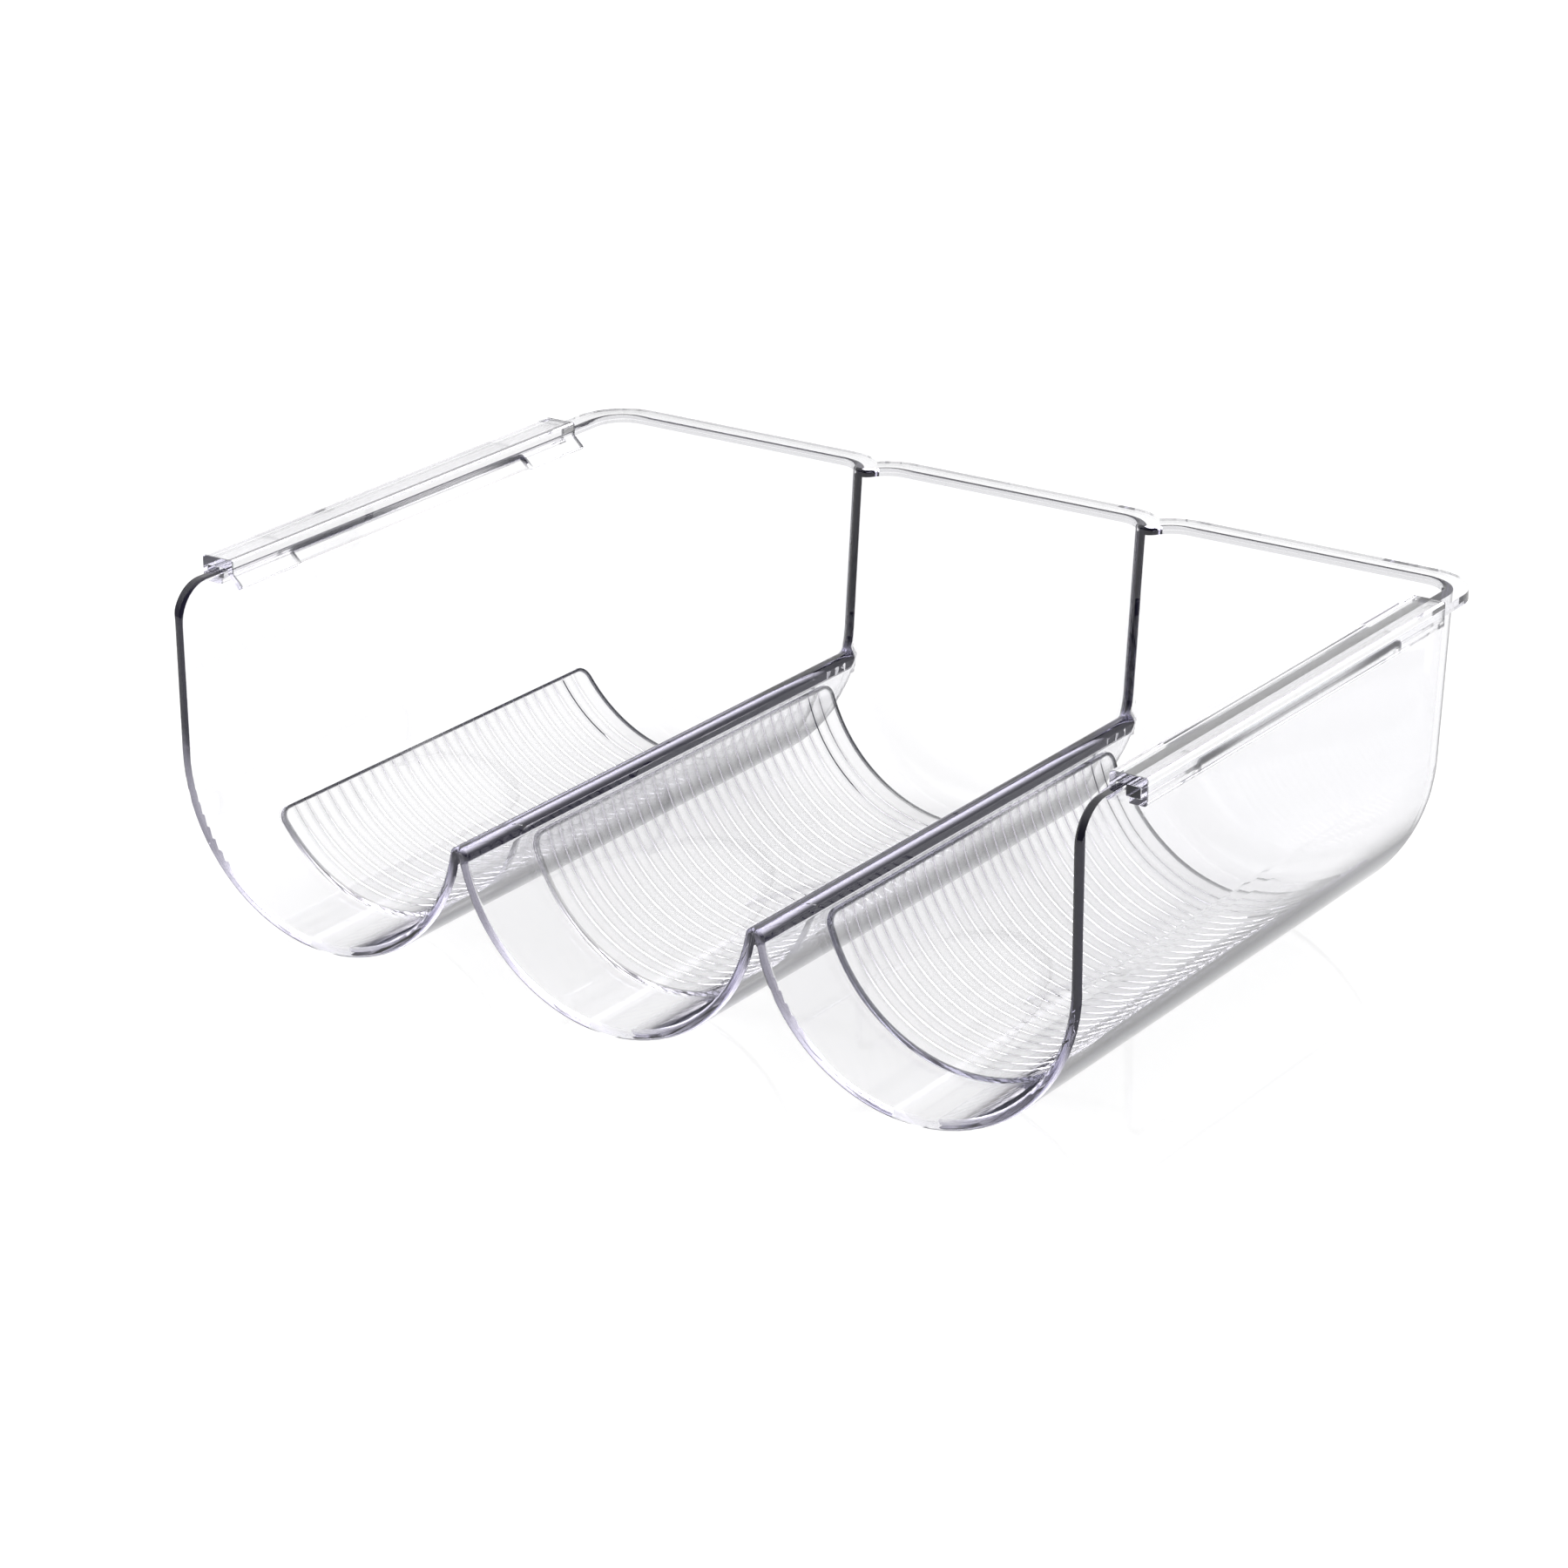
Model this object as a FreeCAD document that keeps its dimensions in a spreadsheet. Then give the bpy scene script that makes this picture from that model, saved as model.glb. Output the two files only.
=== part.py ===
"""Three-bay bottle organizer: a clear moulded tray with ribbed trough liners and clip-on side rails.

Millimetres, +Z up, +Y to the back. The origin is on the floor below the middle bay, half way back.
"""
import FreeCAD, Part
import math
import os
import Sketcher

V = FreeCAD.Vector
doc = FreeCAD.newDocument("bottle_organizer")

# Driving dimensions
SIZES = {
    # three round-bottomed bays side by side
    "bay_radius": 47.0,
    "ridge_web": 4.0,
    "wall": 3.0,
    "foot_cut": 0.5,
    "crest_drop": 6.9,
    "rim_height": 98.3,
    "rim_thickness": 3.0,
    "flange_reach": 4.2,
    # depth, and the back wall that leans outward to the top
    "bay_depth": 201.1,
    "back_lean": 5.6,
    "back_corner": 9.0,
    "cusp_depth": 6.0,
    "cusp_sweep": 5.0,
    "crest_round": 2.2,
    "hollow_round": 0.5,
    "front_corner": 11.0,
    "front_round": 1.1,
    # ribbed liners and the shallow recesses that they lie in
    "recess_drop": 0.8,
    "recess_front": 27.2,
    "recess_length": 145.0,
    "liner_gap": 0.3,
    "liner_thickness": 1.6,
    "liner_corner": 4.0,
    "ridge_angle": 77.0,
    "outer_angle": 58.7,
    "rib_height": 0.25,
    "rib_width": 2.4,
    "rib_pitch": 4.85,
    "rib_margin": 5.0,
    # rails clipped over the side rims
    "rail_front": 20.0,
    "rail_length": 158.0,
    "rail_thickness": 1.6,
    "rail_cap": 2.6,
    "rail_gap": 0.2,
    "rail_seat": 0.1,
    "hook_clearance": 1.0,
    "flap_drop": 3.8,
    "flap_reach": 3.9,
    "flap_root": 1.9,
    "panel_length": 106.5,
    "panel_cut": 0.8,
    "rail_round": 0.7,
}

sheet = doc.addObject("Spreadsheet::Sheet", "sizes")
for row, (alias, value) in enumerate(SIZES.items(), start=1):
    sheet.set(f"A{row}", alias)
    sheet.set(f"B{row}", str(value))
    sheet.setAlias(f"B{row}", alias)
doc.recompute()

# What counts as the same place, and as running along or across an axis, when edges are looked up
TOUCH = 0.01
ALONG = 0.9
ACROSS = 0.5

# Heights and places worked out from the driving dimensions
PITCH = "(2 * sizes.bay_radius + sizes.ridge_web)"
AXIS_Z = "(sizes.bay_radius + sizes.wall - sizes.foot_cut)"
CREST_Z = f"({AXIS_Z} - sizes.crest_drop)"
LEAN = "tan(sizes.back_lean * 1 deg)"
DEPTH = "(sizes.bay_depth + sizes.wall + sizes.flange_reach)"
FAR = "(2 * sizes.bay_depth)"
INNER_X = f"({PITCH} + sizes.bay_radius)"
OUTER_X = f"({INNER_X} + sizes.wall)"
FLANGE_X = f"({OUTER_X} + sizes.flange_reach)"
SHIFT_Y = f"(-{DEPTH} / 2)"


def value_of(expression):
    """Number that an expression over the sheet gives now."""
    found = sheet.evalExpression(expression)
    return float(getattr(found, "Value", found))


def body_at(name, x="0", y="0", z="0"):
    """New body whose own origin sits at the given place, y counted from the front of the tray."""
    body = doc.addObject("PartDesign::Body", name)
    body.Label = name
    body.setExpression("Placement.Base.x", x)
    body.setExpression("Placement.Base.y", f"{SHIFT_Y} + {y}")
    body.setExpression("Placement.Base.z", z)
    return body


def sketch_on(body, name, role):
    """Empty sketch on one of the body's own origin planes."""
    sketch = body.newObject("Sketcher::SketchObject", name)
    plane = next(item for item in body.Origin.OriginFeatures if item.Role == role)
    sketch.AttachmentSupport = [(plane, "")]
    sketch.MapMode = "FlatFace"
    return sketch


def place_point(sketch, index, end, across, up, tag):
    """Tie one end of a sketch line to a place given by two expressions."""
    for kind, axis, expression in (("DistanceX", "across", across), ("DistanceY", "up", up)):
        constraint = Sketcher.Constraint(kind, -1, 1, index, end, value_of(expression))
        number = sketch.addConstraint(constraint)
        sketch.renameConstraint(number, f"{tag}_{axis}")
        sketch.setExpression(f"Constraints.{tag}_{axis}", expression)


def polygon(body, name, role, corners):
    """Closed sketch of straight lines whose corners are pairs of expressions."""
    sketch = sketch_on(body, name, role)
    points = [V(value_of(across), value_of(up), 0) for across, up in corners]
    count = len(points)
    for index in range(count):
        sketch.addGeometry(Part.LineSegment(points[index], points[(index + 1) % count]), False)
    for index in range(count):
        sketch.addConstraint(Sketcher.Constraint("Coincident", index, 2, (index + 1) % count, 1))
    for index, (across, up) in enumerate(corners):
        place_point(sketch, index, 1, across, up, f"corner{index}")
    return sketch


def trough_outline(body, name, radius, top):
    """U-shaped sketch round the body's own Y axis: half circle below, straight sides up to top."""
    sketch = sketch_on(body, name, "XZ_Plane")
    size = value_of(radius)
    height = value_of(top)
    arc = Part.ArcOfCircle(Part.Circle(V(0, 0, 0), V(0, 0, 1), size), math.pi, 2 * math.pi)
    sketch.addGeometry(arc, False)
    sketch.addGeometry(Part.LineSegment(V(size, 0, 0), V(size, height, 0)), False)
    sketch.addGeometry(Part.LineSegment(V(size, height, 0), V(-size, height, 0)), False)
    sketch.addGeometry(Part.LineSegment(V(-size, height, 0), V(-size, 0, 0)), False)
    sketch.addConstraint(Sketcher.Constraint("Coincident", 0, 3, -1, 1))
    sketch.addConstraint(Sketcher.Constraint("Coincident", 0, 2, 1, 1))
    sketch.addConstraint(Sketcher.Constraint("Coincident", 1, 2, 2, 1))
    sketch.addConstraint(Sketcher.Constraint("Coincident", 2, 2, 3, 1))
    sketch.addConstraint(Sketcher.Constraint("Coincident", 3, 2, 0, 1))
    sketch.addConstraint(Sketcher.Constraint("PointOnObject", 1, 1, -1))
    sketch.addConstraint(Sketcher.Constraint("PointOnObject", 3, 2, -1))
    sketch.addConstraint(Sketcher.Constraint("Vertical", 1))
    sketch.addConstraint(Sketcher.Constraint("Vertical", 3))
    sketch.addConstraint(Sketcher.Constraint("Horizontal", 2))
    number = sketch.addConstraint(Sketcher.Constraint("Radius", 0, size))
    sketch.renameConstraint(number, "radius")
    sketch.setExpression("Constraints.radius", radius)
    number = sketch.addConstraint(Sketcher.Constraint("DistanceY", 1, 1, 1, 2, height))
    sketch.renameConstraint(number, "top")
    sketch.setExpression("Constraints.top", top)
    return sketch


def pad(body, name, sketch, length, reverse=False, middle=False):
    """Pad of a sketch by an expression."""
    feature = body.newObject("PartDesign::Pad", name)
    feature.Profile = sketch
    feature.Reversed = reverse
    feature.Midplane = middle
    feature.setExpression("Length", length)
    doc.recompute()
    return feature


def pocket(body, name, sketch, length, reverse=False, middle=False):
    """Pocket of a sketch by an expression, checked to have taken material away."""
    before = body.Shape.Volume
    feature = body.newObject("PartDesign::Pocket", name)
    feature.Profile = sketch
    feature.Reversed = reverse
    feature.Midplane = middle
    feature.setExpression("Length", length)
    doc.recompute()
    if not body.Shape.Volume < before - TOUCH:
        raise RuntimeError(f"{body.Label}: {name} cut nothing")
    return feature


def edge_names(shape, wanted):
    """Names of the edges of a shape that pass a test."""
    return [f"Edge{number}" for number, edge in enumerate(shape.Edges, start=1) if wanted(edge)]


def round_edges(body, name, radius, wanted):
    """Fillet of the body's edges that pass a test."""
    base = body.Tip
    names = edge_names(base.Shape, wanted)
    if not names:
        raise RuntimeError(f"{body.Label}: {name} found no edge")
    feature = body.newObject("PartDesign::Fillet", name)
    feature.Base = (base, names)
    feature.setExpression("Radius", radius)
    doc.recompute()
    return feature


def middle_of(edge):
    """Point half way along an edge."""
    return edge.valueAt((edge.FirstParameter + edge.LastParameter) / 2)


def bay_block(name, index, radius, grow, front):
    """Solid U of one bay with the leaning rounded back.

    grow is how far it goes on beyond the inner skin at the back and above the rim.
    """
    x = f"{index} * {PITCH}"
    body = body_at(name, x, front, AXIS_Z)
    top = f"(sizes.rim_height - {AXIS_Z} + {grow[1]})"
    profile = trough_outline(body, f"{name}_outline", radius, top)
    pad(body, f"{name}_run", profile, FAR, reverse=True)
    # the back plane leans by back_lean and passes bay_depth at the rim
    back = f"(sizes.bay_depth - {front} + {grow[0]})"
    rim = f"(sizes.rim_height - {AXIS_Z})"
    low = "(-2 * sizes.bay_radius)"
    high = "(4 * sizes.bay_radius)"
    corners = [
        (f"{back} + ({low} - {rim}) * {LEAN}", low),
        (f"2 * {FAR}", low),
        (f"2 * {FAR}", high),
        (f"{back} + ({high} - {rim}) * {LEAN}", high),
    ]
    cut = polygon(body, f"{name}_back", "YZ_Plane", corners)
    pocket(body, f"{name}_lean", cut, "4 * sizes.bay_radius", middle=True)
    height = value_of(top)

    def on_back(edge):
        ends = [vertex.Point for vertex in edge.Vertexes]
        near_back = all(point.y > value_of(back) / 2 for point in ends)
        along = edge.tangentAt(edge.FirstParameter)
        below_top = middle_of(edge).z < height - TOUCH
        return near_back and below_top and abs(along.y) < ACROSS

    round_edges(body, f"{name}_corner", f"(sizes.back_corner + {grow[0]})", on_back)
    return body


def round_lip(body, name):
    """Rounding of the outer edge of a shell's open front."""
    height = value_of(f"sizes.rim_height - {AXIS_Z}")

    def at_front(edge):
        ends = [vertex.Point.y for vertex in edge.Vertexes]
        return max(ends) < TOUCH and middle_of(edge).z < height - TOUCH

    return round_edges(body, name, "sizes.front_round", at_front)


def rim_plate(name, index):
    """Flat rim round one bay, with the rounded back corners of the bay's flange."""
    x = f"{index} * {PITCH}"
    body = body_at(name, x, "0", "(sizes.rim_height - sizes.rim_thickness)")
    half = "(sizes.bay_radius + sizes.wall + sizes.flange_reach)"
    corners = [(f"-{half}", "0"), (half, "0"), (half, DEPTH), (f"-{half}", DEPTH)]
    profile = polygon(body, f"{name}_outline", "XY_Plane", corners)
    pad(body, f"{name}_plate", profile, "sizes.rim_thickness")

    def upright(edge):
        return abs(edge.tangentAt(edge.FirstParameter).z) > ALONG

    def at_back(edge):
        return upright(edge) and middle_of(edge).y > value_of(DEPTH) / 2

    def at_front(edge):
        return upright(edge) and middle_of(edge).y < value_of(DEPTH) / 2

    round_edges(body, f"{name}_back", "(sizes.back_corner + sizes.wall + sizes.flange_reach)", at_back)
    round_edges(body, f"{name}_front", "sizes.flange_reach", at_front)
    return body


def top_opening():
    """Block that opens the bays to each other above the ridge crests, up to the back wall cusps."""
    body = body_at("top_opening", "0", "0", CREST_Z)
    crest_to_rim = f"(sizes.rim_height - {CREST_Z})"
    tip = "(sizes.bay_depth - sizes.cusp_depth)"
    high = f"({crest_to_rim} + 2 * sizes.wall)"
    near = "(-2 * sizes.wall)"
    corners = [
        (near, "0"),
        (f"{tip} - {crest_to_rim} * {LEAN}", "0"),
        (f"{tip} + ({high} - {crest_to_rim}) * {LEAN}", high),
        (near, high),
    ]
    profile = polygon(body, "top_opening_outline", "YZ_Plane", corners)
    pad(body, "top_opening_run", profile, f"2 * {PITCH}", middle=True)
    turn = value_of(f"{tip} - {crest_to_rim} * {LEAN}")

    def at_turn(edge):
        point = middle_of(edge)
        return abs(point.y - turn) < TOUCH and abs(point.z) < TOUCH

    round_edges(body, "top_opening_sweep", "sizes.cusp_sweep", at_turn)
    return body


def front_corner_cutter():
    """What the rounded upper front corners of the side walls leave out."""
    block = doc.addObject("Part::Box", "front_corner_block")
    block.setExpression("Length", f"3 * {FLANGE_X}")
    block.setExpression("Width", "2 * sizes.front_corner")
    block.setExpression("Height", "2 * sizes.front_corner")
    block.setExpression("Placement.Base.x", f"-1.5 * {FLANGE_X}")
    block.setExpression("Placement.Base.y", f"{SHIFT_Y} - sizes.front_corner")
    block.setExpression("Placement.Base.z", "sizes.rim_height - sizes.front_corner")
    roller = doc.addObject("Part::Cylinder", "front_corner_roller")
    roller.Placement.Rotation = FreeCAD.Rotation(V(0, 1, 0), 90)
    roller.setExpression("Radius", "sizes.front_corner")
    roller.setExpression("Height", f"4 * {FLANGE_X}")
    roller.setExpression("Placement.Base.x", f"-2 * {FLANGE_X}")
    roller.setExpression("Placement.Base.y", f"{SHIFT_Y} + sizes.front_corner")
    roller.setExpression("Placement.Base.z", "sizes.rim_height - sizes.front_corner")
    cutter = doc.addObject("Part::Cut", "front_corner_cutter")
    cutter.Base = block
    cutter.Tool = roller
    return cutter


def flange_cutter(name, side):
    """What is left out of the flange in front of a rail, so that the flange starts where the rail does."""
    block = doc.addObject("Part::Box", name)
    block.setExpression("Length", "2 * sizes.flange_reach")
    block.setExpression("Width", "2 * sizes.rail_front")
    block.setExpression("Height", "3 * sizes.rim_thickness")
    block.setExpression("Placement.Base.x", OUTER_X if side > 0 else f"-{OUTER_X} - 2 * sizes.flange_reach")
    block.setExpression("Placement.Base.y", f"{SHIFT_Y} - sizes.rail_front")
    block.setExpression("Placement.Base.z", "sizes.rim_height - 2 * sizes.rim_thickness")
    return block


def floor_cutter():
    """What the flat feet under the three bays leave out."""
    block = doc.addObject("Part::Box", "floor_cutter")
    block.setExpression("Length", f"3 * {FLANGE_X}")
    block.setExpression("Width", f"2 * {DEPTH}")
    block.setExpression("Height", "4 * sizes.wall")
    block.setExpression("Placement.Base.x", f"-1.5 * {FLANGE_X}")
    block.setExpression("Placement.Base.y", f"-{DEPTH}")
    block.setExpression("Placement.Base.z", "-4 * sizes.wall")
    return block


def combine(kind, name, shapes, tools=None):
    """Part boolean of document objects."""
    result = doc.addObject(kind, name)
    if kind == "Part::Cut":
        result.Base = shapes
        result.Tool = tools
    else:
        result.Shapes = shapes
    doc.recompute()
    return result


def turned(body, name, profile, sweep):
    """Revolution of a section about the body's own Y axis."""
    feature = body.newObject("PartDesign::Revolution", name)
    feature.Profile = profile
    feature.ReferenceAxis = (profile, ["H_Axis"])
    feature.Reversed = True
    feature.setExpression("Angle", sweep)
    doc.recompute()
    return feature


def lining(name, index, start, sweep, shell, run, ribs):
    """Curved sheet round a bay's sunk axis.

    start is where the sheet begins, counted round from straight down towards the left, and sweep is
    how far it goes on to the right. shell is its inner and outer radius, run is its front and its
    length, and ribs says whether rows of ribs stand on its inner side.
    """
    inner, outer = shell
    begin, length = run
    body = body_at(name, f"{index} * {PITCH}", begin, f"({AXIS_Z} - sizes.recess_drop)")
    body.Placement.Rotation = FreeCAD.Rotation(V(0, 1, 0), 10)
    body.setExpression("Placement.Rotation.Angle", start)
    corners = [
        ("0", f"-{outer}"),
        (length, f"-{outer}"),
        (length, f"-{inner}"),
        ("0", f"-{inner}"),
    ]
    profile = polygon(body, f"{name}_section", "YZ_Plane", corners)
    sheet_turn = turned(body, f"{name}_sheet", profile, sweep)

    def at_corner(edge):
        ends = [vertex.Point for vertex in edge.Vertexes]
        reach = [math.hypot(point.x, point.z) for point in ends]
        along = edge.tangentAt(edge.FirstParameter)
        return abs(along.y) < TOUCH and abs(reach[0] - reach[-1]) > TOUCH

    round_edges(body, f"{name}_corners", "sizes.liner_corner", at_corner)
    if ribs:
        bottom = f"-({inner} + sizes.liner_thickness / 2)"
        first = "sizes.rib_margin"
        row = [
            (first, bottom),
            (f"{first} + sizes.rib_width", bottom),
            (f"{first} + sizes.rib_width * 2 / 3", f"-({inner} - sizes.rib_height)"),
            (f"{first} + sizes.rib_width / 3", f"-({inner} - sizes.rib_height)"),
        ]
        profile = polygon(body, f"{name}_rib_section", "YZ_Plane", row)
        rib = turned(body, f"{name}_rib", profile, sweep)
        pattern = body.newObject("PartDesign::LinearPattern", f"{name}_ribs")
        pattern.Originals = [rib]
        pattern.Direction = (profile, ["H_Axis"])
        room = f"({length} - 2 * sizes.rib_margin - sizes.rib_width)"
        pattern.setExpression("Length", f"floor({room} / sizes.rib_pitch) * sizes.rib_pitch")
        pattern.setExpression("Occurrences", f"floor({room} / sizes.rib_pitch) + 1")
        body.Tip = pattern
        doc.recompute()
    return body


def side_rail(name, side):
    """Rail clipped over one side rim: cap, outer hook under the flange, and sloping inner flap."""
    body = body_at(name, "0", "sizes.rail_front", "(sizes.rim_height + sizes.rail_seat)")
    outer = f"({FLANGE_X} + sizes.rail_gap + sizes.rail_thickness)"
    under = "(-sizes.rim_thickness - sizes.rail_seat - sizes.rail_gap)"
    hook_x = f"({OUTER_X} + sizes.hook_clearance)"
    leg_out = f"({INNER_X} - sizes.rail_gap)"
    leg_in = f"({leg_out} - sizes.rail_thickness)"
    # the flap slopes inward at about 45 degrees, so its thickness steps as far across as down
    step = "(sizes.rail_thickness / sqrt(2))"
    root_z = f"(-sizes.flap_root + {step} / 2)"
    tip_x = f"({leg_out} - sizes.flap_reach)"
    tip_z = "(-sizes.flap_root - sizes.flap_drop)"
    corners = [
        (outer, "sizes.rail_cap"),
        (outer, f"{under} - sizes.rail_thickness"),
        (hook_x, f"{under} - sizes.rail_thickness"),
        (hook_x, under),
        (f"{FLANGE_X} + sizes.rail_gap", under),
        (f"{FLANGE_X} + sizes.rail_gap", "0"),
        (leg_out, "0"),
        (leg_out, "-sizes.flap_root"),
        (tip_x, tip_z),
        (f"{tip_x} - {step}", f"{tip_z} + {step}"),
        (leg_in, root_z),
        (leg_in, "sizes.rail_cap"),
    ]
    profile = polygon(body, f"{name}_section", "XZ_Plane", on_side(side, corners))
    pad(body, f"{name}_run", profile, "sizes.rail_length", reverse=True)
    outer_x = value_of(outer)
    tip = value_of(tip_x)
    cap = value_of("sizes.rail_cap")

    def at_corner(edge):
        point = middle_of(edge)
        lengthwise = abs(edge.tangentAt(edge.FirstParameter).y) > ALONG
        outside = abs(abs(point.x) - outer_x) < TOUCH
        inner_top = abs(point.z - cap) < TOUCH
        at_tip = abs(point.x) < tip + TOUCH
        return lengthwise and (outside or inner_top or at_tip)

    round_edges(body, f"{name}_rounds", "sizes.rail_round", at_corner)

    # a long shallow panel, as deep all along the flap, leaves its middle thin between plain ends
    cut = "(sizes.panel_cut / sqrt(2))"
    across = f"(2 * ({leg_in} - {tip_x} + {step}))"
    down = f"(2 * ({root_z} - {tip_z} - {step}))"
    corners = [
        (leg_in, root_z),
        (f"{leg_in} + {cut}", f"{root_z} - {cut}"),
        (f"{leg_in} + {cut} - {across}", f"{root_z} - {cut} - {down}"),
        (f"{leg_in} - {across}", root_z),
    ]
    profile = polygon(body, f"{name}_panel_section", "XZ_Plane", on_side(side, corners))
    profile.setExpression("AttachmentOffset.Base.z", "-(sizes.rail_length - sizes.panel_length) / 2")
    doc.recompute()
    pocket(body, f"{name}_panel", profile, "sizes.panel_length")
    return body


def on_side(side, corners):
    """Corners of a section drawn for the right side, turned over for the left when side is -1."""
    return [(f"{side} * ({across})", up) for across, up in corners]


def near_ridge(edge):
    """How far an edge lies from the plane of its ridge, or None if it runs across the ridge."""
    ridge = value_of(PITCH) / 2
    ends = [abs(abs(vertex.Point.x) - ridge) for vertex in edge.Vertexes]
    if max(ends) - min(ends) > value_of("sizes.crest_round") / 4:
        return None
    return abs(abs(middle_of(edge).x) - ridge)


def at_crest(edge):
    """Whether an edge bounds the narrow top of a ridge or the tip of a cusp."""
    reach = near_ridge(edge)
    narrow = value_of("sizes.ridge_web / 2")
    wide = value_of(f"{PITCH} / 2 - sqrt(sizes.bay_radius ^ 2 - sizes.crest_drop ^ 2)")
    low = value_of(CREST_Z) - TOUCH
    back = value_of(f"{DEPTH} / 2 - sizes.flange_reach - 2 * sizes.wall")
    point = middle_of(edge)
    on_tip = reach is not None and narrow - TOUCH < reach < wide + TOUCH
    return on_tip and point.z > low and point.y < back and edge.Length > TOUCH


def in_hollow(edge):
    """Whether an edge is the sharp bottom of the groove under and behind a ridge."""
    ridge = value_of(f"{PITCH} / 2")
    on_ridge = all(abs(abs(vertex.Point.x) - ridge) < TOUCH for vertex in edge.Vertexes)
    below_rim = middle_of(edge).z < value_of("sizes.rim_height - sizes.rim_thickness") - TOUCH
    return on_ridge and below_rim and edge.Length > TOUCH


def at_mouth(edge):
    """Whether an edge bounds the inside of a bay in the plane of the open front."""
    front = value_of(SHIFT_Y)
    points = [vertex.Point for vertex in edge.Vertexes] + [middle_of(edge)]
    if any(abs(point.y - front) > TOUCH for point in points):
        return False
    middle = points[-1]
    bay = round(middle.x / value_of(PITCH)) * value_of(PITCH)
    drop = min(middle.z - value_of(AXIS_Z), 0)
    return abs(math.hypot(middle.x - bay, drop) - value_of("sizes.bay_radius")) < TOUCH


BAYS = ((-1, "left"), (0, "middle"), (1, "right"))


def liner_angles(index):
    """How far a liner reaches up to its left and right: further up a ridge than up an outer wall."""
    to_left = "sizes.outer_angle" if index < 0 else "sizes.ridge_angle"
    to_right = "sizes.outer_angle" if index > 0 else "sizes.ridge_angle"
    return to_left, to_right


def tray():
    """The moulded tray: three shells and their rims, opened, with recesses and rounded ridges."""
    skin = "(sizes.bay_radius + sizes.wall)"
    bed = ("(sizes.bay_radius / 2)", "sizes.bay_radius")
    run = ("sizes.recess_front", "sizes.recess_length")
    margin = "(asin(sizes.liner_gap / sizes.bay_radius) / 1 deg)"
    shells = []
    rooms = [top_opening(), front_corner_cutter(), floor_cutter()]
    rooms += [flange_cutter("flange_cutter_left", -1), flange_cutter("flange_cutter_right", 1)]
    for index, side in BAYS:
        shell = bay_block(f"{side}_shell", index, skin, ("sizes.wall", "0"), "0")
        round_lip(shell, f"{side}_lip")
        shells.append(shell)
        shells.append(rim_plate(f"{side}_rim", index))
        grow = ("0", "sizes.wall")
        rooms.append(bay_block(f"{side}_room", index, "sizes.bay_radius", grow, "(-sizes.wall)"))
        to_left, to_right = liner_angles(index)
        start = f"{to_left} + {margin}"
        sweep = f"{to_left} + {to_right} + 2 * {margin}"
        rooms.append(lining(f"{side}_recess", index, start, sweep, bed, run, False))
    doc.recompute()
    outside = combine("Part::MultiFuse", "tray_outside", shells)
    inside = combine("Part::MultiFuse", "tray_inside", rooms)
    body = doc.addObject("PartDesign::Body", "bin_body")
    body.Label = "bin_body"
    body.BaseFeature = combine("Part::Cut", "tray_raw", outside, inside)
    doc.recompute()
    round_edges(body, "ridge_crests", "sizes.crest_round", at_crest)
    round_edges(body, "ridge_hollows", "sizes.hollow_round", in_hollow)
    round_edges(body, "front_lips", "sizes.front_round", at_mouth)
    return body


def trough_liner(index, side):
    """Ribbed liner that drops into the recess of one bay."""
    outer = "(sizes.bay_radius - sizes.liner_gap)"
    inner = f"({outer} - sizes.liner_thickness)"
    run = ("(sizes.recess_front + sizes.liner_gap)", "(sizes.recess_length - 2 * sizes.liner_gap)")
    to_left, to_right = liner_angles(index)
    sweep = f"{to_left} + {to_right}"
    return lining(f"trough_liner_{side}", index, to_left, sweep, (inner, outer), run, True)


def check(pieces):
    """Stop unless every object is computed and every piece is one valid solid."""
    doc.recompute()
    for item in doc.Objects:
        if "Invalid" in item.State or "Error" in item.State:
            raise RuntimeError(f"{item.Label} failed: {item.State}")
    for piece in pieces:
        shape = piece.Shape
        if shape.isNull() or not shape.isValid() or len(shape.Solids) != 1:
            raise RuntimeError(f"{piece.Label} is not one valid solid")
        print(piece.Label, round(shape.Volume / 1000, 2), "cm3")


pieces = [tray()]
pieces += [side_rail("side_rail_left", "-1"), side_rail("side_rail_right", "1")]
pieces += [trough_liner(index, side) for index, side in BAYS]
check(pieces)
os.makedirs("parts", exist_ok=True)
for piece in pieces:
    piece.Shape.exportStep(f"parts/{piece.Label}.step")
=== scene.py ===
"""Clear three-bay bottle organizer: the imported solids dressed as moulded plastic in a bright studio."""

import logging
import math
from dataclasses import dataclass, field
from enum import Enum
from typing import Optional, Tuple, Union

import bpy
from mathutils import Matrix, Vector


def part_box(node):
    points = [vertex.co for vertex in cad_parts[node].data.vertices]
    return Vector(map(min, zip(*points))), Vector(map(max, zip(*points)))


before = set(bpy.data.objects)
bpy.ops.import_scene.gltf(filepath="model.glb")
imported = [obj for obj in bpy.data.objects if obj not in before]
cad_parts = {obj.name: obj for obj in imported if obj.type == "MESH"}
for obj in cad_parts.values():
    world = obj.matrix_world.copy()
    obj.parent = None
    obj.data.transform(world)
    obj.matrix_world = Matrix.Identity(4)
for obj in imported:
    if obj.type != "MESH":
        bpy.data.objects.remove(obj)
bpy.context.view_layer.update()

Colour = Tuple[float, float, float, float]
Value = Union[bpy.types.NodeSocket, float]
Paint = Union[bpy.types.NodeSocket, Colour]
LOG = logging.getLogger("organizer")


class Piece(Enum):
    """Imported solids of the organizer."""

    TRAY = "bin_body"
    RAIL_LEFT = "side_rail_left"
    RAIL_RIGHT = "side_rail_right"
    LINER_LEFT = "trough_liner_left"
    LINER_MIDDLE = "trough_liner_middle"
    LINER_RIGHT = "trough_liner_right"


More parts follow.
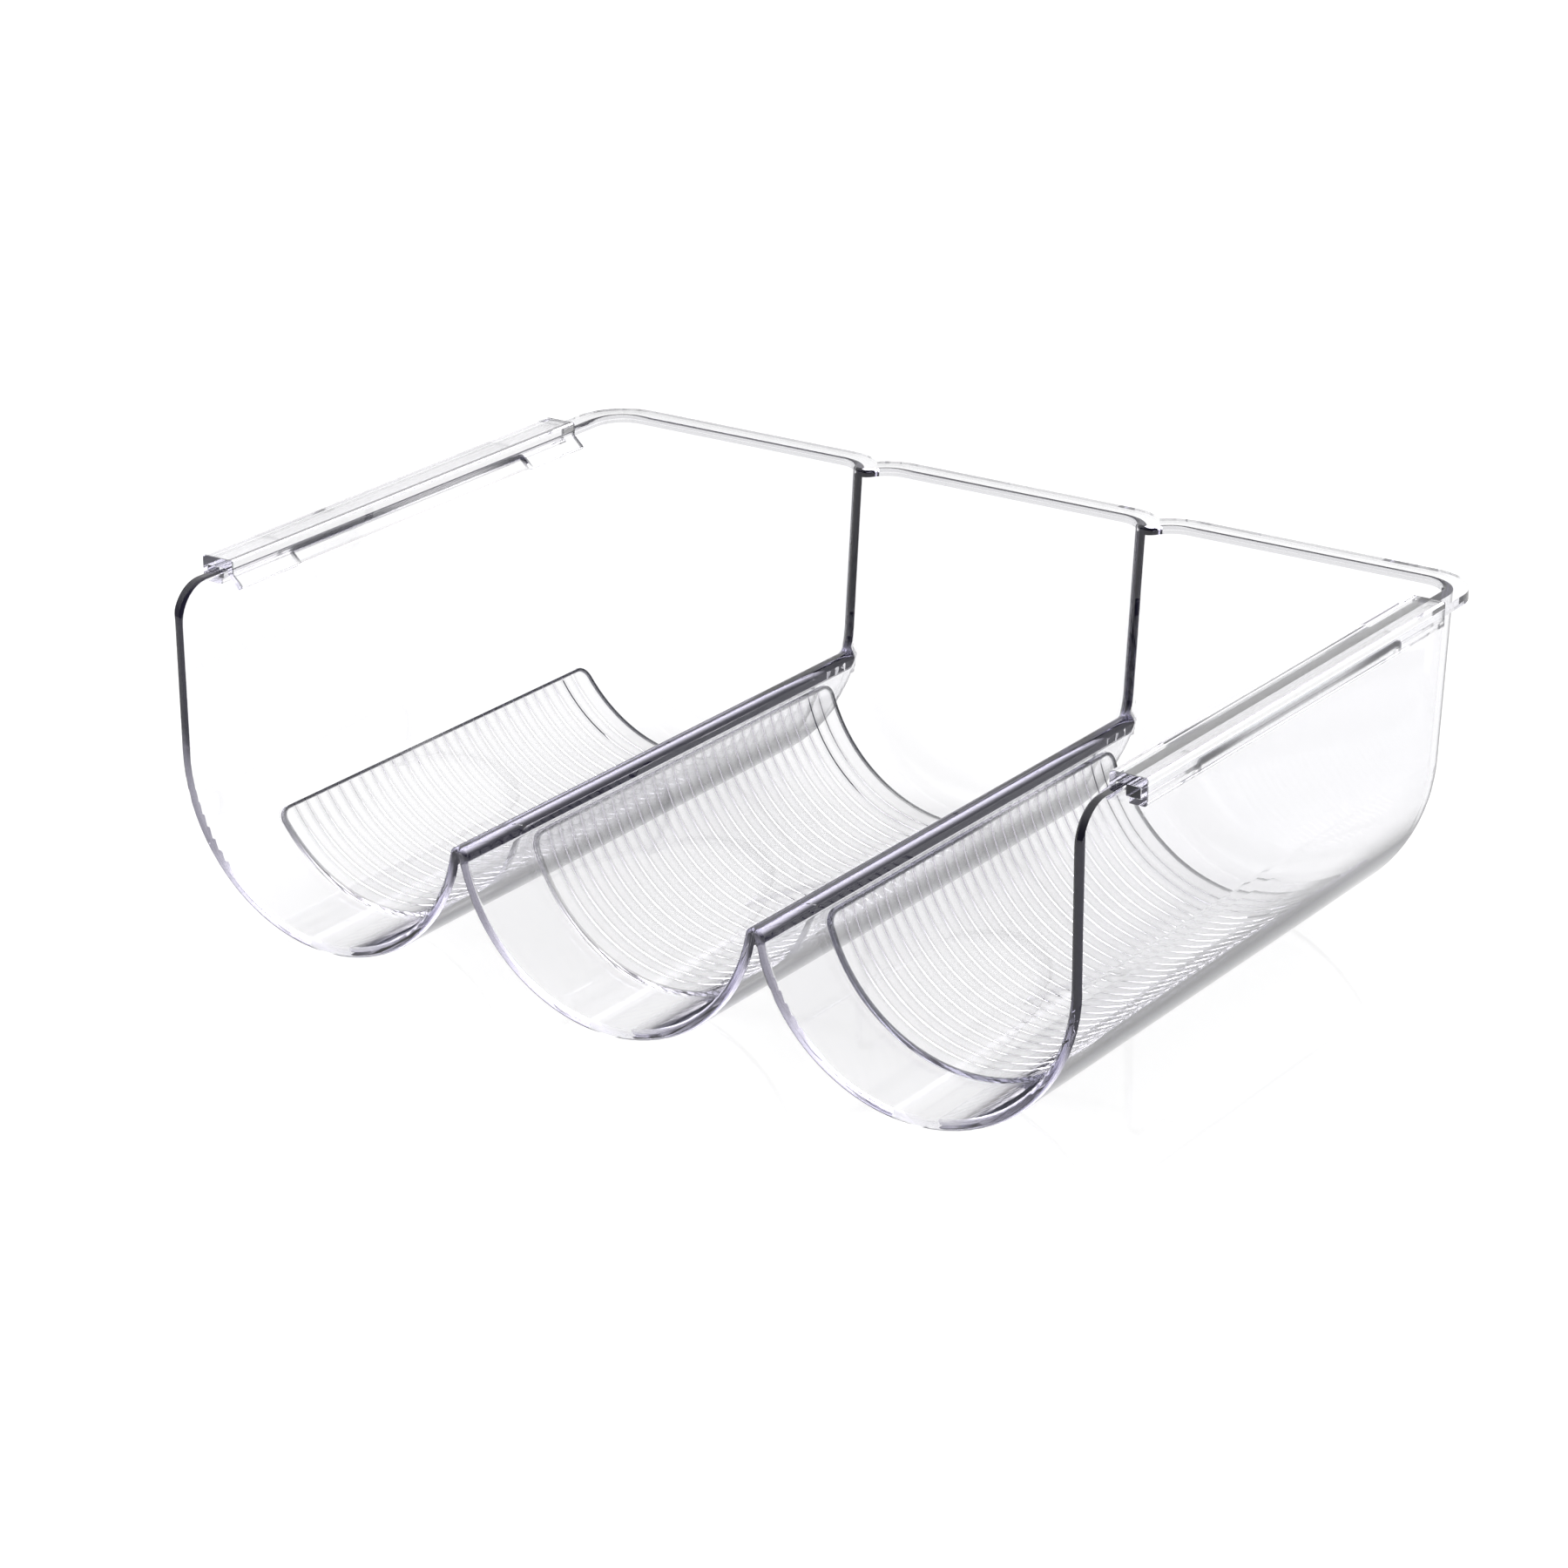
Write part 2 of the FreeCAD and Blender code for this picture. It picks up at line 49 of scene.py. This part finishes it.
class NodeSheet:
    """Short ways to lay out nodes in one node tree."""

    def __init__(self, tree: bpy.types.NodeTree) -> None:
        """Keep the tree that the nodes go into."""
        self.tree = tree

    def add(self, kind: str) -> bpy.types.Node:
        """Add a node of the given kind."""
        return self.tree.nodes.new(kind)

    def join(self, start: bpy.types.NodeSocket, end: bpy.types.NodeSocket) -> None:
        """Link two sockets."""
        self.tree.links.new(start, end)

    def math(self, operation: str, *values: Value) -> bpy.types.NodeSocket:
        """Add a math node.

        Args:
            operation: The math node's operation.
            values: Sockets or numbers, in the order of the node's inputs.

        Returns:
            The socket of the result.
        """
        node = self.add("ShaderNodeMath")
        node.operation = operation
        for place, value in zip(node.inputs, values):
            if isinstance(value, (int, float)):
                place.default_value = value
            else:
                self.join(value, place)
        return node.outputs[0]

    def noise(self, place: bpy.types.NodeSocket, scale: float, detail: float) -> bpy.types.NodeSocket:
        """Add a noise texture.

        Args:
            place: Socket that gives the place on the object.
            scale: Noise cells in a metre.
            detail: Octaves of finer noise.

        Returns:
            The socket of the noise value.
        """
        texture = self.add("ShaderNodeTexNoise")
        texture.inputs["Scale"].default_value = scale
        texture.inputs["Detail"].default_value = detail
        self.join(place, texture.inputs["Vector"])
        return texture.outputs["Fac"]

    def mix(self, factor: bpy.types.NodeSocket, first: Paint, second: Paint) -> bpy.types.NodeSocket:
        """Mix two colours.

        Args:
            factor: Socket that is 0 for the first colour and 1 for the second.
            first: Colour or socket of the first colour.
            second: Colour or socket of the second colour.

        Returns:
            The socket of the mixed colour.
        """
        node = self.add("ShaderNodeMix")
        node.data_type = "RGBA"
        self.join(factor, node.inputs["Factor"])
        for label, paint in (("A", first), ("B", second)):
            place = next(p for p in node.inputs if p.name == label and p.type == "RGBA")
            if isinstance(paint, tuple):
                place.default_value = paint
            else:
                self.join(paint, place)
        return next(p for p in node.outputs if p.type == "RGBA")

    def step(self, value: Value, low: float, high: float) -> bpy.types.NodeSocket:
        """Smooth step of a value from 0 at low to 1 at high.

        Args:
            value: Socket of the value.
            low: Value that gives 0.
            high: Value that gives 1.

        Returns:
            The socket of the result.
        """
        node = self.add("ShaderNodeMapRange")
        node.interpolation_type = "SMOOTHSTEP"
        node.inputs["From Min"].default_value = low
        node.inputs["From Max"].default_value = high
        self.join(value, node.inputs["Value"])
        return node.outputs["Result"]


@dataclass(frozen=True)
class MouldedSurface:
    """What a polished mould and daily handling leave on clear plastic: slow waves and faint rubbing."""

    name: str = "moulded_surface"
    wave_scale: float = 26.0
    wave_detail: float = 1.0
    rub_scale: float = 180.0
    rub_detail: float = 3.0
    rub_from: float = 0.5

    def build(self) -> bpy.types.NodeTree:
        """Make the shared node group.

        Returns:
            A shader group with Waves, Rubbing and Gloss inputs, and Height and Roughness outputs.
        """
        group = bpy.data.node_groups.new(self.name, "ShaderNodeTree")
        for label in ("Waves", "Rubbing", "Gloss"):
            group.interface.new_socket(label, in_out="INPUT", socket_type="NodeSocketFloat")
        for label in ("Height", "Roughness"):
            group.interface.new_socket(label, in_out="OUTPUT", socket_type="NodeSocketFloat")
        sheet = NodeSheet(group)
        entry = sheet.add("NodeGroupInput").outputs
        leave = sheet.add("NodeGroupOutput").inputs
        place = sheet.add("ShaderNodeTexCoord").outputs["Object"]
        waves = sheet.noise(place, self.wave_scale, self.wave_detail)
        sheet.join(sheet.math("MULTIPLY", waves, entry["Waves"]), leave["Height"])
        rubs = sheet.noise(place, self.rub_scale, self.rub_detail)
        worn = sheet.math("MAXIMUM", sheet.math("SUBTRACT", rubs, self.rub_from), 0.0)
        worn = sheet.math("MULTIPLY", worn, entry["Rubbing"])
        sheet.join(sheet.math("ADD", worn, entry["Gloss"]), leave["Roughness"])
        return group


@dataclass(frozen=True)
class OutlineShade:
    """Shade that gathers along the rounded outline of a moulded step."""

    name: str = "outline_shade"
    fade_from: float = 0.6
    fade_to: float = 1.1
    uneven_scale: float = 14.0
    uneven_from: float = 0.35
    uneven_to: float = 0.6
    uneven: float = 0.55

    def build(self) -> bpy.types.NodeTree:
        """Make the shared node group.

        Returns:
            A shader group whose Mask output is 1 on the outline of a rounded rectangle. Across and Along
            are distances from its middle, and Line is the width of the shaded line inside the outline.
        """
        group = bpy.data.node_groups.new(self.name, "ShaderNodeTree")
        for label in ("Across", "Along", "Half Across", "Half Along", "Corner", "Line"):
            group.interface.new_socket(label, in_out="INPUT", socket_type="NodeSocketFloat")
        group.interface.new_socket("Mask", in_out="OUTPUT", socket_type="NodeSocketFloat")
        sheet = NodeSheet(group)
        entry = sheet.add("NodeGroupInput").outputs
        leave = sheet.add("NodeGroupOutput").inputs
        corner = entry["Corner"]
        past = []
        for side in ("Across", "Along"):
            reach = sheet.math("SUBTRACT", sheet.math("ABSOLUTE", entry[side]), entry[f"Half {side}"])
            past.append(sheet.math("ADD", reach, corner))
        outer = [sheet.math("POWER", sheet.math("MAXIMUM", value, 0.0), 2.0) for value in past]
        round_part = sheet.math("SQRT", sheet.math("ADD", outer[0], outer[1]))
        flat_part = sheet.math("MINIMUM", sheet.math("MAXIMUM", past[0], past[1]), 0.0)
        depth = sheet.math("SUBTRACT", sheet.math("ADD", round_part, flat_part), corner)
        inside = sheet.math("DIVIDE", sheet.math("ABSOLUTE", depth), entry["Line"])
        mask = sheet.math("SUBTRACT", 1.0, sheet.step(inside, self.fade_from, self.fade_to))
        place = sheet.add("ShaderNodeTexCoord").outputs["Object"]
        patchy = sheet.noise(place, self.uneven_scale, 0.0)
        patchy = sheet.step(patchy, self.uneven_from, self.uneven_to)
        patchy = sheet.math("MULTIPLY_ADD", patchy, self.uneven, 1.0 - self.uneven)
        sheet.join(sheet.math("MULTIPLY", mask, patchy), leave["Mask"])
        return group


@dataclass(frozen=True)
class LinerOutline:
    """Where the outline and the ribs of one trough liner run, counted round the axis of its bay."""

    bay_x: float
    reach_left: float
    reach_right: float
    run: Tuple[float, float]
    axis_z: float = 0.0487
    radius: float = 0.0459
    corner: float = 0.004
    line: float = 0.0011
    rib_margin: float = 0.005
    rib_pitch: float = 0.00485
    rib_width: float = 0.0024
    rib_shade: float = 0.22
    rib_sharpness: float = 4.0

    def shade(self, sheet: NodeSheet, outline: bpy.types.NodeTree) -> bpy.types.NodeSocket:
        """Shade of the outline and the ribs on a liner.

        Args:
            sheet: The material's node sheet.
            outline: The shared outline group.

        Returns:
            The socket of the shade, from 0 to 1.
        """
        split = sheet.add("ShaderNodeSeparateXYZ")
        sheet.join(sheet.add("ShaderNodeTexCoord").outputs["Object"], split.inputs[0])
        across = sheet.math("SUBTRACT", split.outputs["X"], self.bay_x)
        down = sheet.math("SUBTRACT", self.axis_z, split.outputs["Z"])
        turn = sheet.math("ARCTAN2", across, down)
        middle = math.radians(self.reach_right - self.reach_left) / 2.0
        half = math.radians(self.reach_right + self.reach_left) / 2.0
        shade = sheet.add("ShaderNodeGroup")
        shade.node_tree = outline
        off_middle = sheet.math("SUBTRACT", turn, middle)
        sheet.join(sheet.math("MULTIPLY", off_middle, self.radius), shade.inputs["Across"])
        begin, end = self.run
        sheet.join(sheet.math("SUBTRACT", split.outputs["Y"], (begin + end) / 2.0), shade.inputs["Along"])
        shade.inputs["Half Across"].default_value = half * self.radius
        shade.inputs["Half Along"].default_value = (end - begin) / 2.0
        shade.inputs["Corner"].default_value = self.corner
        shade.inputs["Line"].default_value = self.line
        return sheet.math("MAXIMUM", shade.outputs["Mask"], self.ribs(sheet, split.outputs["Y"]))

    def ribs(self, sheet: NodeSheet, run: bpy.types.NodeSocket) -> bpy.types.NodeSocket:
        """Soft shade along each rib.

        Args:
            sheet: The material's node sheet.
            run: Socket of the place along the bay.

        Returns:
            The socket of the shade, from 0 to rib_shade.
        """
        begin, end = self.run
        first = begin + self.rib_margin + self.rib_width / 2.0
        turns = sheet.math("DIVIDE", sheet.math("SUBTRACT", run, first), self.rib_pitch)
        wave = sheet.math("COSINE", sheet.math("MULTIPLY", turns, math.pi))
        depth = sheet.math("MULTIPLY", sheet.math("POWER", wave, self.rib_sharpness), self.rib_shade)
        past_first = sheet.math("GREATER_THAN", run, first - self.rib_width / 2.0)
        before_end = sheet.math("LESS_THAN", run, end - self.rib_margin)
        return sheet.math("MULTIPLY", depth, sheet.math("MULTIPLY", past_first, before_end))


@dataclass(frozen=True)
class PanelOutline:
    """Where the outline of the long shallow panel runs on a side rail's flap, and where the rail ends."""

    ends: Tuple[float, float]
    middle_y: float = -0.00515
    half_length: float = 0.05325
    middle_z: float = 0.0949
    half_height: float = 0.0021
    corner: float = 0.0012
    line: float = 0.0010
    lower_share: float = 0.25
    rise: float = 0.00336
    end_line: float = 0.0009
    end_full: float = 0.0003
    end_share: float = 0.95

    def shade(self, sheet: NodeSheet, outline: bpy.types.NodeTree) -> bpy.types.NodeSocket:
        """Shade of the rail's ends and of the panel's outline, which is stronger at its upper edge.

        Args:
            sheet: The material's node sheet.
            outline: The shared outline group.

        Returns:
            The socket of the shade, from 0 to 1.
        """
        split = sheet.add("ShaderNodeSeparateXYZ")
        sheet.join(sheet.add("ShaderNodeTexCoord").outputs["Object"], split.inputs[0])
        shade = sheet.add("ShaderNodeGroup")
        shade.node_tree = outline
        sheet.join(sheet.math("SUBTRACT", split.outputs["Z"], self.middle_z), shade.inputs["Across"])
        sheet.join(sheet.math("SUBTRACT", split.outputs["Y"], self.middle_y), shade.inputs["Along"])
        shade.inputs["Half Across"].default_value = self.half_height
        shade.inputs["Half Along"].default_value = self.half_length
        shade.inputs["Corner"].default_value = self.corner
        shade.inputs["Line"].default_value = self.line
        low = self.middle_z - self.half_height
        upper = sheet.step(split.outputs["Z"], low, low + self.rise)
        upper = sheet.math("MULTIPLY_ADD", upper, 1.0 - self.lower_share, self.lower_share)
        panel = sheet.math("MULTIPLY", shade.outputs["Mask"], upper)
        return sheet.math("MAXIMUM", panel, self.end_faces(sheet, split.outputs["Y"]))

    def end_faces(self, sheet: NodeSheet, run: bpy.types.NodeSocket) -> bpy.types.NodeSocket:
        """Shade of the two cut ends of a rail.

        Args:
            sheet: The material's node sheet.
            run: Socket of the place along the rail.

        Returns:
            The socket of the shade, from 0 to end_share.
        """
        low, high = self.ends
        half = (high - low) / 2.0
        past = sheet.math("ABSOLUTE", sheet.math("SUBTRACT", run, (low + high) / 2.0))
        near = sheet.step(past, half - self.end_line, half - self.end_full)
        return sheet.math("MULTIPLY", near, self.end_share)


@dataclass(frozen=True)
class PaintedInnerLight:
    """Painted light and shade inside a wall, set by the way it faces: most on level walls, least on upright
    ones.
    """

    name: str = "painted_inner_light"
    upright: float = 0.006
    slope_from: float = 0.04
    slope_to: float = 0.34
    slope_light: float = 0.18
    level_from: float = 0.5
    level_to: float = 0.95
    level_light: float = 1.0

    def build(self) -> bpy.types.NodeTree:
        """Make the shared node group.

        Returns:
            A shader group with a Light output.
        """
        group = bpy.data.node_groups.new(self.name, "ShaderNodeTree")
        group.interface.new_socket("Light", in_out="OUTPUT", socket_type="NodeSocketFloat")
        sheet = NodeSheet(group)
        split = sheet.add("ShaderNodeSeparateXYZ")
        sheet.join(sheet.add("ShaderNodeNewGeometry").outputs["Normal"], split.inputs[0])
        # Painted light on slopes that lean one way only, as if lit from one side.
        slope = sheet.math("MULTIPLY", split.outputs["X"], split.outputs["Z"])
        slope = sheet.step(slope, self.slope_from, self.slope_to)
        level = sheet.step(sheet.math("ABSOLUTE", split.outputs["Z"]), self.level_from, self.level_to)
        light = sheet.math("MULTIPLY_ADD", slope, self.slope_light, self.upright)
        light = sheet.math("MULTIPLY_ADD", level, self.level_light, light)
        leave = sheet.add("NodeGroupOutput").inputs
        sheet.join(sheet.math("MINIMUM", light, 1.0), leave["Light"])
        return group


@dataclass(frozen=True)
class SharedGroups:
    """Node groups that all the plastics share."""

    surface: bpy.types.NodeTree
    outline: bpy.types.NodeTree
    painted_inner_light: bpy.types.NodeTree


@dataclass(frozen=True)
class ClearPlastic:
    """Clear moulded plastic whose body darkens to violet-grey over a long way through it."""

    name: str
    outline: Optional[Union[LinerOutline, PanelOutline]] = None
    tint: Colour = (1.0, 1.0, 1.0, 1.0)
    shade: Colour = (0.04, 0.04, 0.055, 1.0)
    # Painted shade: a dark tint where the outside of a wall is seen nearly edge on.
    edge: Colour = (0.01, 0.01, 0.015, 1.0)
    edge_from: float = 0.66
    edge_to: float = 0.80
    # Painted light and shade: glow emitted where light is cut off inside the wall, dark on upright walls
    # and light on level ones.
    painted_trapped_shade: Colour = (0.010, 0.008, 0.035, 1.0)
    painted_trapped_light: Colour = (4.5, 4.4, 4.6, 1.0)
    trap_bounces: int = 5
    ior: float = 1.57
    body_colour: Colour = (0.30, 0.29, 0.38, 1.0)
    body_density: float = 38.0
    waves: float = 1.0
    rubbing: float = 0.10
    gloss: float = 0.005
    relief: float = 0.00006

    def painted_wall_light(self, sheet: NodeSheet, painted_inner_light: bpy.types.NodeTree) -> bpy.types.NodeSocket:
        """Painted light: an emitted colour that stands in for light that has turned back inside the wall
        too often to follow any further.

        Args:
            sheet: The material's node sheet.
            painted_inner_light: The shared group that says how light the wall is inside.

        Returns:
            The socket of the emitted colour, which is black for all other light.
        """
        turns = sheet.add("ShaderNodeLightPath").outputs["Glossy Depth"]
        lost = sheet.math("GREATER_THAN", turns, self.trap_bounces + 0.5)
        inner = sheet.add("ShaderNodeGroup")
        inner.node_tree = painted_inner_light
        colour = sheet.mix(inner.outputs["Light"], self.painted_trapped_shade, self.painted_trapped_light)
        return sheet.mix(lost, (0.0, 0.0, 0.0, 1.0), colour)

    def wall_colour(self, sheet: NodeSheet, outline: bpy.types.NodeTree) -> bpy.types.NodeSocket:
        """Colour of the surface, with painted shade where it is seen nearly edge on from outside and along
        outlines.

        Args:
            sheet: The material's node sheet.
            outline: The shared outline group.

        Returns:
            The socket of the colour.
        """
        # Painted shade at grazing angles on the outside of the wall.
        facing = sheet.add("ShaderNodeLayerWeight").outputs["Facing"]
        grazing = sheet.step(facing, self.edge_from, self.edge_to)
        outside = sheet.math("SUBTRACT", 1.0, sheet.add("ShaderNodeNewGeometry").outputs["Backfacing"])
        colour = sheet.mix(sheet.math("MULTIPLY", grazing, outside), self.tint, self.edge)
        if self.outline is None:
            return colour
        return sheet.mix(self.outline.shade(sheet, outline), colour, self.shade)

    def build(self, groups: SharedGroups) -> bpy.types.Material:
        """Make the material.

        Args:
            groups: The node groups that all the plastics share.

        Returns:
            The finished material.
        """
        material = bpy.data.materials.new(self.name)
        material.use_nodes = True
        sheet = NodeSheet(material.node_tree)
        nodes = material.node_tree.nodes
        shader = nodes["Principled BSDF"].inputs
        shader["Base Color"].default_value = self.tint
        shader["IOR"].default_value = self.ior
        shader["Transmission Weight"].default_value = 1.0
        finish = sheet.add("ShaderNodeGroup")
        finish.node_tree = groups.surface
        finish.inputs["Waves"].default_value = self.waves
        finish.inputs["Rubbing"].default_value = self.rubbing
        finish.inputs["Gloss"].default_value = self.gloss
        sheet.join(finish.outputs["Roughness"], shader["Roughness"])
        bump = sheet.add("ShaderNodeBump")
        bump.inputs["Strength"].default_value = 1.0
        bump.inputs["Distance"].default_value = self.relief
        sheet.join(finish.outputs["Height"], bump.inputs["Height"])
        sheet.join(bump.outputs["Normal"], shader["Normal"])
        sheet.join(self.wall_colour(sheet, groups.outline), shader["Base Color"])
        # Painted light: the emitted glow of the painted trapped light.
        sheet.join(self.painted_wall_light(sheet, groups.painted_inner_light), shader["Emission Color"])
        shader["Emission Strength"].default_value = 1.0
        absorb = sheet.add("ShaderNodeVolumeAbsorption")
        absorb.inputs["Color"].default_value = self.body_colour
        absorb.inputs["Density"].default_value = self.body_density
        sheet.join(absorb.outputs["Volume"], nodes["Material Output"].inputs["Volume"])
        return material


@dataclass
class PhotoCamera:
    """Camera at the photograph's viewing angle, fitted to edges of the organizer that show in it."""

    focal_pixels: float = 5247.0
    picture_pixels: float = 1800.0
    sensor: float = 36.0
    azimuth: float = 35.08
    elevation: float = 21.62
    roll: float = -0.43
    offset: Tuple[float, float, float] = (-0.048216, -0.027538, 1.209026)
    target: Tuple[float, float, float] = (0.0, -0.10415, 0.0426)
    clip: Tuple[float, float] = (0.01, 100.0)

    def build(self) -> bpy.types.Object:
        """Make the camera and give it to the scene.

        Returns:
            The camera object.
        """
        data = bpy.data.cameras.new("photo_camera")
        data.sensor_width = self.sensor
        data.lens = self.focal_pixels * self.sensor / self.picture_pixels
        data.clip_start, data.clip_end = self.clip
        turn = math.radians(self.azimuth)
        rise = math.radians(self.elevation)
        ahead = Vector((-math.sin(turn) * math.cos(rise), math.cos(turn) * math.cos(rise), -math.sin(rise)))
        right = Vector((math.cos(turn), math.sin(turn), 0.0))
        up = right.cross(ahead)
        spin = math.radians(self.roll)
        across = right * math.cos(spin) + up * math.sin(spin)
        above = up * math.cos(spin) - right * math.sin(spin)
        aside, higher, away = self.offset
        place = Vector(self.target) - across * aside - above * higher - ahead * away
        turned = Matrix((across, above, -ahead)).transposed()
        camera = bpy.data.objects.new("photo_camera", data)
        camera.matrix_world = Matrix.Translation(place) @ turned.to_4x4()
        bpy.context.scene.collection.objects.link(camera)
        bpy.context.scene.camera = camera
        return camera


@dataclass
class Studio:
    """White sweep under an even light, with the dark room behind the camera."""

    floor_size: float = 60.0
    floor_colour: Colour = (0.45, 0.45, 0.45, 1.0)
    floor_roughness: float = 0.02
    glow: float = 0.80
    white: Colour = (1.0, 1.0, 1.0, 1.0)
    dark_turn: float = 35.0
    dark_from: float = -0.1
    dark_to: float = 0.5
    dark_light: float = 0.02
    bounces: int = 24
    glossy_bounces: int = 5

    def floor(self) -> bpy.types.Object:
        """Lay the pale floor.

        Returns:
            The floor object.
        """
        bpy.ops.object.select_all(action="DESELECT")
        bpy.ops.mesh.primitive_plane_add(size=self.floor_size, location=(0.0, 0.0, 0.0))
        floor = bpy.context.object
        floor.name = "floor"
        material = bpy.data.materials.new("white_floor")
        material.use_nodes = True
        shader = material.node_tree.nodes["Principled BSDF"].inputs
        shader["Base Color"].default_value = self.floor_colour
        shader["Roughness"].default_value = self.floor_roughness
        shader["Emission Color"].default_value = self.white
        shader["Emission Strength"].default_value = self.glow
        floor.data.materials.append(material)
        return floor

    def room(self, sheet: NodeSheet) -> bpy.types.NodeSocket:
        """Light of the room by direction, dark behind the camera.

        Args:
            sheet: The world's node sheet.

        Returns:
            The socket of the light's strength.
        """
        toward = sheet.add("ShaderNodeVectorMath")
        toward.operation = "DOT_PRODUCT"
        sheet.join(sheet.add("ShaderNodeTexCoord").outputs["Generated"], toward.inputs[0])
        turn = math.radians(self.dark_turn)
        toward.inputs[1].default_value = (math.sin(turn), -math.cos(turn), 0.0)
        dark = sheet.add("ShaderNodeMapRange")
        dark.interpolation_type = "SMOOTHSTEP"
        dark.inputs["From Min"].default_value = self.dark_from
        dark.inputs["From Max"].default_value = self.dark_to
        dark.inputs["To Min"].default_value = 1.0
        dark.inputs["To Max"].default_value = self.dark_light
        sheet.join(toward.outputs["Value"], dark.inputs["Value"])
        return dark.outputs["Result"]

    def sky(self) -> None:
        """Light the scene from all round, and show plain white where the camera looks past the floor."""
        world = bpy.data.worlds.new("studio_light")
        bpy.context.scene.world = world
        world.use_nodes = True
        world.node_tree.nodes.clear()
        sheet = NodeSheet(world.node_tree)
        seen = sheet.add("ShaderNodeMix")
        seen.data_type = "FLOAT"
        sheet.join(sheet.add("ShaderNodeLightPath").outputs["Is Camera Ray"], seen.inputs[0])
        sheet.join(self.room(sheet), seen.inputs[2])
        seen.inputs[3].default_value = 1.0
        back = sheet.add("ShaderNodeBackground")
        back.inputs["Color"].default_value = self.white
        sheet.join(seen.outputs[0], back.inputs["Strength"])
        sheet.join(back.outputs[0], sheet.add("ShaderNodeOutputWorld").inputs["Surface"])

    def build(self) -> None:
        """Build floor and light, and set how far light is followed."""
        self.floor()
        self.sky()
        bpy.context.scene.view_settings.view_transform = "Standard"
        paths = bpy.context.scene.cycles
        paths.max_bounces = self.bounces
        paths.transmission_bounces = self.bounces
        paths.glossy_bounces = self.glossy_bounces


@dataclass
class Organizer:
    """The organizer's solids and their finishes."""

    bay_pitch: float = 0.098
    reach_ridge: float = 77.0
    reach_wall: float = 58.7
    liner_density: float = 15.0
    rail_density: float = 12.0
    # Painted light and shade of the rails: a lighter trapped light on upright walls, and a narrower edge
    # shade.
    rail_painted_trapped_shade: Colour = (0.30, 0.29, 0.34, 1.0)
    rail_edge: Tuple[float, float] = (0.85, 0.99)
    outline: OutlineShade = field(default_factory=OutlineShade)
    surface: MouldedSurface = field(default_factory=MouldedSurface)
    painted_inner_light: PaintedInnerLight = field(default_factory=PaintedInnerLight)

    def liner_finish(self, piece: Piece, bay: int) -> ClearPlastic:
        """Finish of the liner of one bay.

        Args:
            piece: The liner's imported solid.
            bay: -1, 0 or 1 for the left, middle or right bay.

        Returns:
            The liner's plastic.
        """
        low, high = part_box(piece.value)
        left = self.reach_wall if bay < 0 else self.reach_ridge
        right = self.reach_wall if bay > 0 else self.reach_ridge
        outline = LinerOutline(bay * self.bay_pitch, left, right, (low.y, high.y))
        return ClearPlastic(f"clear_{piece.value}", outline, body_density=self.liner_density)

    def rail_finish(self, piece: Piece) -> ClearPlastic:
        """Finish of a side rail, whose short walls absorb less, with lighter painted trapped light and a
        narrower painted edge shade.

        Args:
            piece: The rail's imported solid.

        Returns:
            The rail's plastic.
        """
        low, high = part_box(piece.value)
        edge_from, edge_to = self.rail_edge
        return ClearPlastic(
            f"clear_{piece.value}",
            PanelOutline((low.y, high.y)),
            edge_from=edge_from,
            edge_to=edge_to,
            painted_trapped_shade=self.rail_painted_trapped_shade,
            body_density=self.rail_density,
        )

    def dress(self) -> None:
        """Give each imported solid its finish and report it."""
        groups = SharedGroups(self.surface.build(), self.outline.build(), self.painted_inner_light.build())
        finishes = {
            Piece.TRAY: ClearPlastic("clear_tray_plastic"),
            Piece.RAIL_LEFT: self.rail_finish(Piece.RAIL_LEFT),
            Piece.RAIL_RIGHT: self.rail_finish(Piece.RAIL_RIGHT),
            Piece.LINER_LEFT: self.liner_finish(Piece.LINER_LEFT, -1),
            Piece.LINER_MIDDLE: self.liner_finish(Piece.LINER_MIDDLE, 0),
            Piece.LINER_RIGHT: self.liner_finish(Piece.LINER_RIGHT, 1),
        }
        for piece, finish in finishes.items():
            material = finish.build(groups)
            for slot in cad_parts[piece.value].material_slots:
                slot.material = material
            LOG.info("%s dressed in %s", piece.value, finish.name)


def main() -> None:
    """Build the scene and report its pieces."""
    logging.basicConfig(level=logging.INFO, format="%(message)s")
    PhotoCamera().build()
    Studio().build()
    Organizer().dress()


if __name__ == "__main__":
    main()
